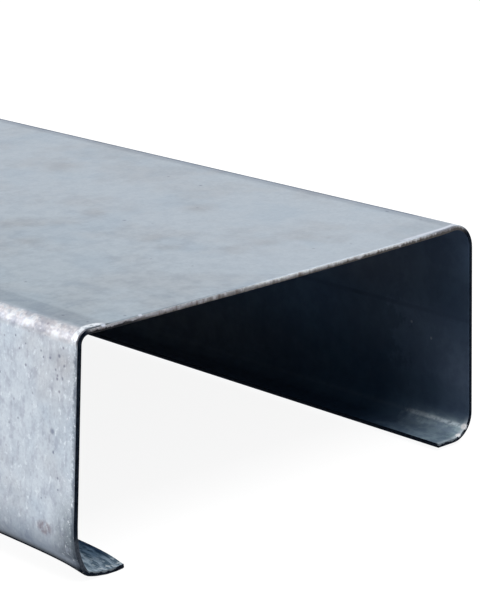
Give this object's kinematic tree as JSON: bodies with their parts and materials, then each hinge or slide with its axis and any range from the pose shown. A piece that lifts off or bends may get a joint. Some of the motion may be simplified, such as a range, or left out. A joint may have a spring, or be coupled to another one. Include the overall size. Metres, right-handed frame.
{
  "type": "steel stud",
  "caption": "Lipped C-section wall stud roll-formed from thin galvanised strip, with oblong service punchouts along the web.",
  "frame": {"origin": "on the floor, under the middle of the section's width and of the length", "axes": "+Y along the stud from the leading cut end, +Z out of the web's outer face, X across the web"},
  "size_m": [0.095, 2.4384, 0.0418],
  "materials": {
    "galvanised_steel": "hot-dip galvanised strip, dull with soft mottling, faint lengthwise rolling streaks, rubbed bright on the bends"
  },
  "bodies": {
    "root": {"stud": "galvanised_steel"}
  },
  "joints": []
}
